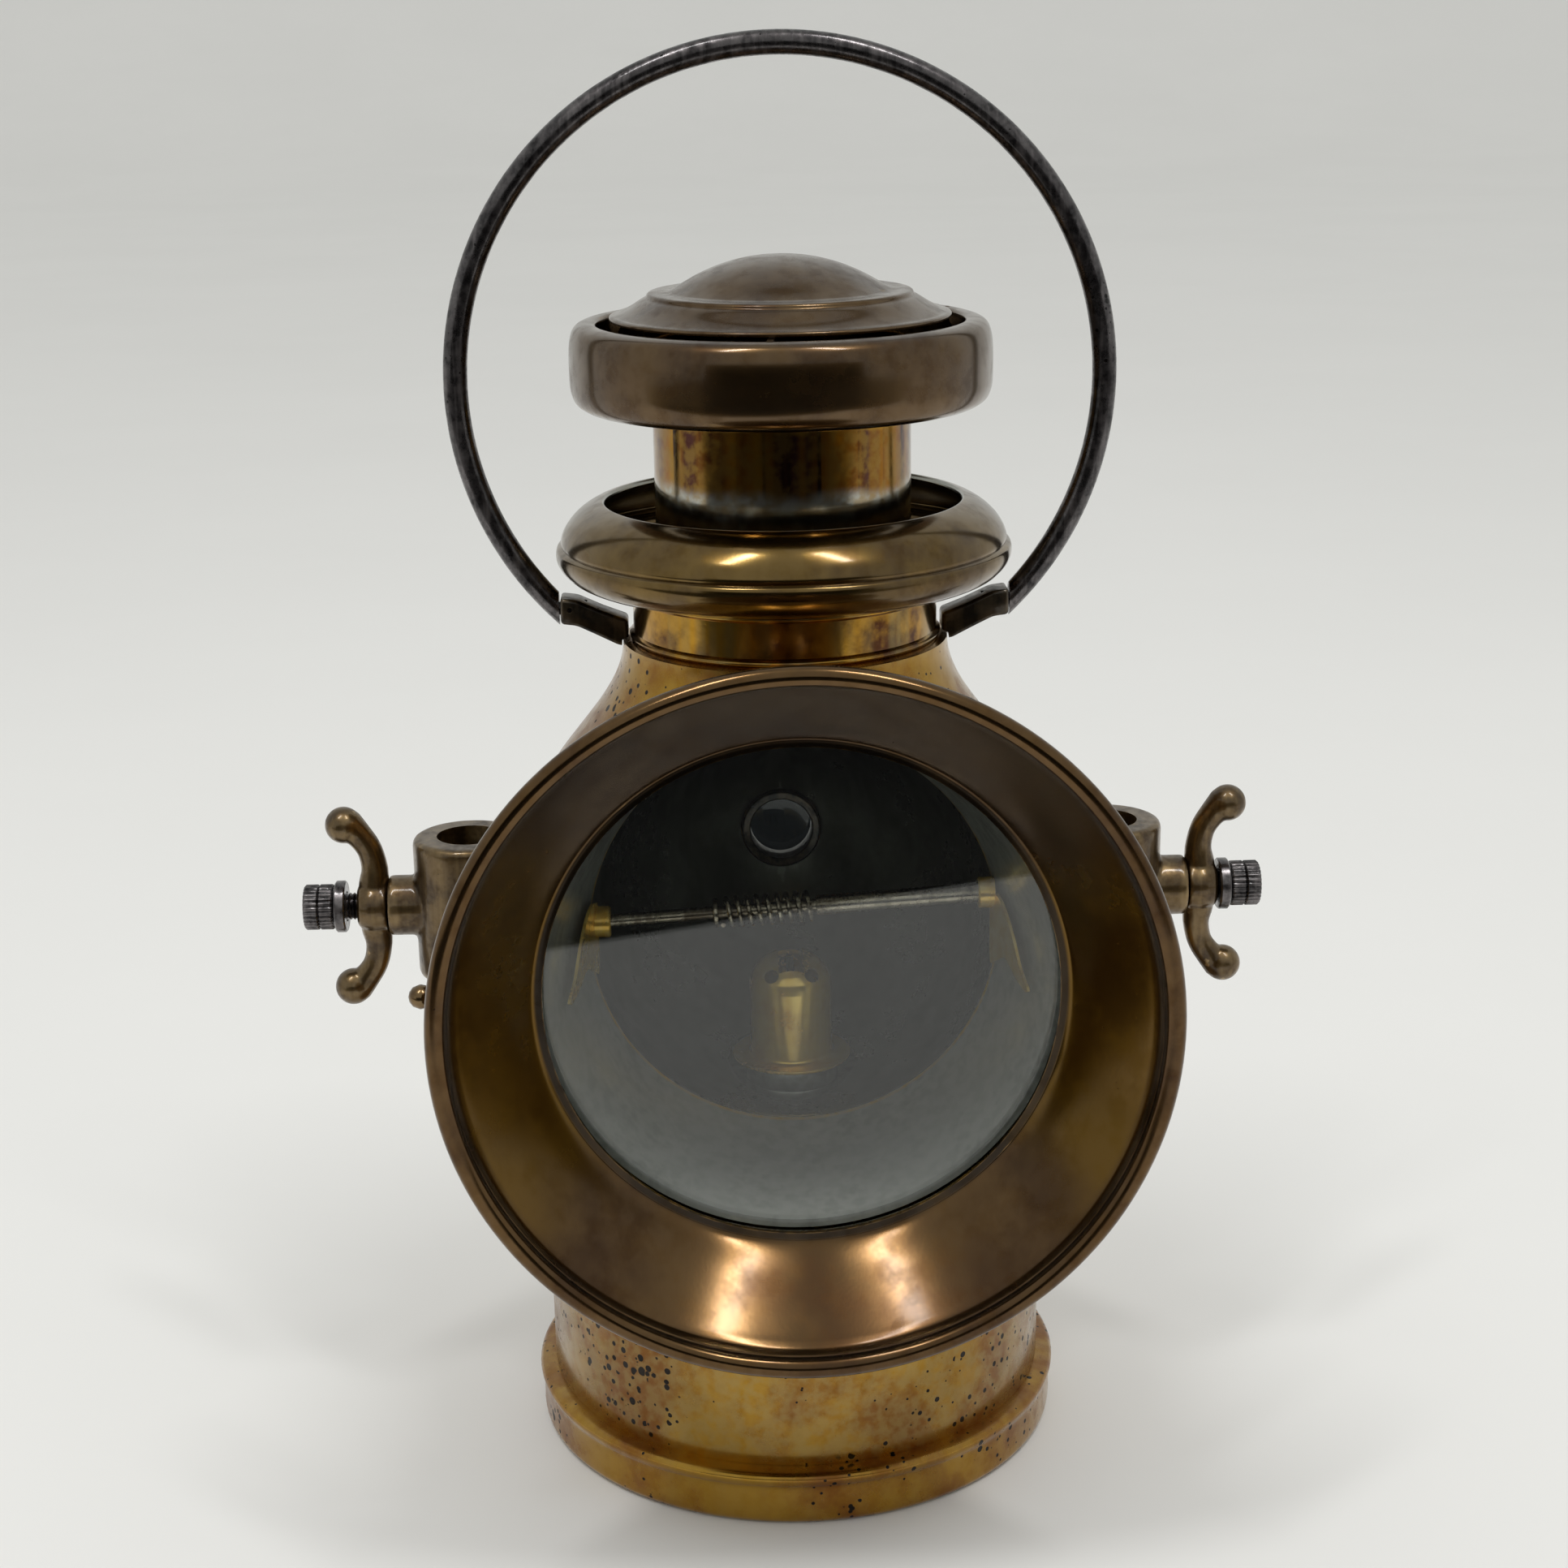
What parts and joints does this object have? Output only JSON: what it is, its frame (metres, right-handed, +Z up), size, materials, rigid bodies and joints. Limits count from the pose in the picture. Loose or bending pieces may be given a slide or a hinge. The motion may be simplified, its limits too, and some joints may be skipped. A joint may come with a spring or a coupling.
{
  "type": "paraffin car lamp",
  "caption": "Brass paraffin lamp with a flared hinged bezel, pull-out font and burner, vented cap and chimney, swinging bail and clamped sockets for a forked bracket.",
  "frame": {"origin": "middle of the flat underside of the base, where the lamp stands", "axes": "+Z up, -Y the way the glass looks, +X to the hinge side"},
  "size_m": [0.1956, 0.1378, 0.284],
  "materials": {
    "golden_brass": "worn golden brass with dark pits",
    "brown_brass": "brown patinated brass",
    "tinted_brass": "heat-tinted brass",
    "cast_brass": "aged cast brass",
    "polished_brass": "polished brass",
    "dark_steel": "worn black steel",
    "ear_metal": "dark brown tarnished brass",
    "tinned": "dull tinned brass",
    "spring_steel": "aged bright steel",
    "clear_glass": "clear flat glass",
    "dark_glass": "dark glass",
    "cotton": "woven cotton"
  },
  "bodies": {
    "lamp_body": {"body_shell": "golden_brass", "neck_band": "tinted_brass", "cowl_ring": "brown_brass", "flue_gallery": "tinned", "chimney_tube": "tinted_brass", "cap_band": "brown_brass", "cap_top": "brown_brass", "cap_leg_1": "brown_brass", "cap_leg_2": "brown_brass", "cap_leg_3": "brown_brass", "left_bail_ear": "ear_metal", "right_bail_ear": "ear_metal", "left_fork_socket": "cast_brass", "right_fork_socket": "cast_brass", "front_drum": "golden_brass", "inner_cone": "tinned", "reflector_bowl": "tinned", "rear_port_ring": "golden_brass", "rear_jewel": "dark_glass", "fixed_hinge_leaf": "brown_brass", "hinge_pin": "dark_steel", "rod_pin": "spring_steel", "rod_tube": "spring_steel", "rod_spring": "spring_steel", "left_rod_clip": "polished_brass", "right_rod_clip": "polished_brass"},
    "bail": {"bail_handle": "dark_steel"},
    "door": {"door_frame": "brown_brass", "door_bezel": "brown_brass", "door_glass": "clear_glass", "glass_ring": "spring_steel", "door_hinge_leaf": "brown_brass", "door_catch": "brown_brass"},
    "left_wing": {"left_wing_nut": "cast_brass"},
    "right_wing": {"right_wing_nut": "cast_brass"},
    "left_stud": {"left_clamp_stud": "dark_steel", "left_stop_washer": "dark_steel", "left_end_nut": "dark_steel"},
    "right_stud": {"right_clamp_stud": "dark_steel", "right_stop_washer": "dark_steel", "right_end_nut": "dark_steel"},
    "font": {"base_cup": "golden_brass", "font_tank": "tinned", "burner_collar": "tinned", "burner_dome": "polished_brass", "wick_tube": "polished_brass", "wick": "cotton"},
    "winder": {"winder_spindle": "spring_steel", "winder_knob": "polished_brass"}
  },
  "joints": [
    {"name": "bail_swing", "type": "hinge", "parent": "lamp_body", "child": "bail", "pos_m": [0, 0, 0.1744], "axis": [1, 0, 0], "range_deg": [-120, 90]},
    {"name": "door_swing", "type": "hinge", "parent": "lamp_body", "child": "door", "pos_m": [0.0575, -0.049, 0.1149], "axis": [0, 0, 1], "range_deg": [0, 105]},
    {"name": "left_wing_spin", "type": "hinge", "parent": "lamp_body", "child": "left_wing", "pos_m": [-0.0845, 0, 0.1132], "axis": [-1, 0, 0], "range_deg": [-720, 0]},
    {"name": "left_stud_slide", "type": "slide", "parent": "lamp_body", "child": "left_stud", "axis": [-1, 0, 0], "range_m": [-0.002, 0]},
    {"name": "right_wing_spin", "type": "hinge", "parent": "lamp_body", "child": "right_wing", "pos_m": [0.0845, 0, 0.1132], "axis": [1, 0, 0], "range_deg": [0, 720]},
    {"name": "right_stud_slide", "type": "slide", "parent": "lamp_body", "child": "right_stud", "axis": [1, 0, 0], "range_m": [0, 0.002]},
    {"name": "font_pull", "type": "slide", "parent": "lamp_body", "child": "font", "axis": [0, 0, -1], "range_m": [0, 0.09]},
    {"name": "winder_turn", "type": "hinge", "parent": "font", "child": "winder", "pos_m": [0.0028, 0, 0.0738], "axis": [0, 1, 0], "range_deg": [-125, 125]}
  ],
  "couplings": [
    {"joint": "left_stud_slide", "follows": "left_wing_spin", "m_per_rad": 0.00015915},
    {"joint": "right_stud_slide", "follows": "right_wing_spin", "m_per_rad": 0.00015915}
  ]
}
